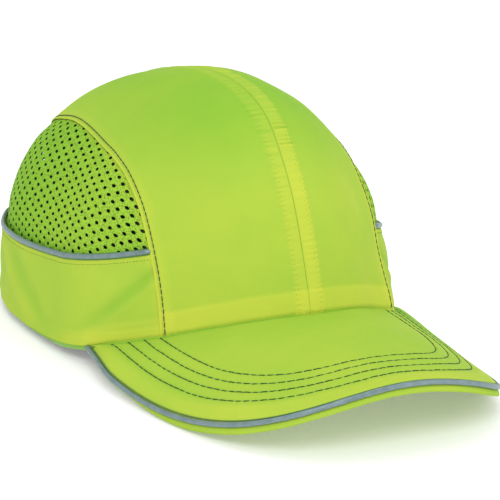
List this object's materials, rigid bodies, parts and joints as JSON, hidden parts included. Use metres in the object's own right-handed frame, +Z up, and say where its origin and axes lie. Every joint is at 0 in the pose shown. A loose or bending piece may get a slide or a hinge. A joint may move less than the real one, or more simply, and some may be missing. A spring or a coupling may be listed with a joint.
{
  "type": "bump cap",
  "caption": "Baseball-style bump cap with a curved brim, mesh sides, reflective piping, a removable vented impact shell and a hook-and-loop rear closure.",
  "frame": {"origin": "centre of the head opening at the crown's widest section, on the plane that the rim and the brim's low sides rest on", "axes": "+Z up through the crown, -Y the way the wearer faces, +X the wearer's left"},
  "size_m": [0.1785, 0.3092, 0.1276],
  "materials": {
    "lime_fabric": "satin woven polyester in high-visibility lime yellow",
    "mesh_fabric": "perforated knit mesh in lime",
    "reflective_piping": "glass-bead retroreflective piping, blue grey",
    "binding_tape": "matt woven tape in darker lime",
    "sweatband_terry": "dark grey terry loop pile",
    "hook_and_loop": "black hook-and-loop pile",
    "brim_board_plastic": "translucent white polyethylene board",
    "shell_abs": "fine-textured black ABS",
    "eva_foam": "closed-cell charcoal EVA foam"
  },
  "bodies": {
    "cap": {"crown_panel_left": "lime_fabric", "crown_panel_right": "lime_fabric", "side_band_left": "lime_fabric", "side_band_right": "lime_fabric", "centre_seam_tape": "lime_fabric", "side_seam_tape_left": "lime_fabric", "side_seam_tape_right": "lime_fabric", "brim_top_cover": "lime_fabric", "brim_under_cover": "lime_fabric", "loop_strap": "lime_fabric", "mesh_panel_left": "mesh_fabric", "mesh_panel_right": "mesh_fabric", "side_piping_left": "reflective_piping", "side_piping_right": "reflective_piping", "brim_piping": "reflective_piping", "rim_binding_left": "binding_tape", "rim_binding_right": "binding_tape", "rear_arch_binding": "binding_tape", "sweatband": "sweatband_terry", "loop_patch": "hook_and_loop", "brim_board": "brim_board_plastic"},
    "closure_strap": {"strap_root": "lime_fabric"},
    "strap_flap": {"strap_flap": "lime_fabric", "hook_patch": "hook_and_loop"},
    "insert": {"impact_shell": "shell_abs", "crown_pad": "eva_foam", "front_pad": "eva_foam", "side_pad_left": "eva_foam", "side_pad_right": "eva_foam", "rear_pad": "eva_foam"}
  },
  "joints": [
    {"name": "strap_adjust", "type": "hinge", "parent": "cap", "child": "closure_strap", "pos_m": [0, 0.0225, 0.0225], "axis": [0, 0, 1], "range_deg": [-3, 4]},
    {"name": "closure_peel", "type": "hinge", "parent": "closure_strap", "child": "strap_flap", "pos_m": [0.03201, 0.12103, 0.0225], "axis": [0, 0, -1], "range_deg": [0, 72]},
    {"name": "insert_release", "type": "slide", "parent": "cap", "child": "insert", "axis": [0, 0, -1], "range_m": [0, 0.165]}
  ]
}
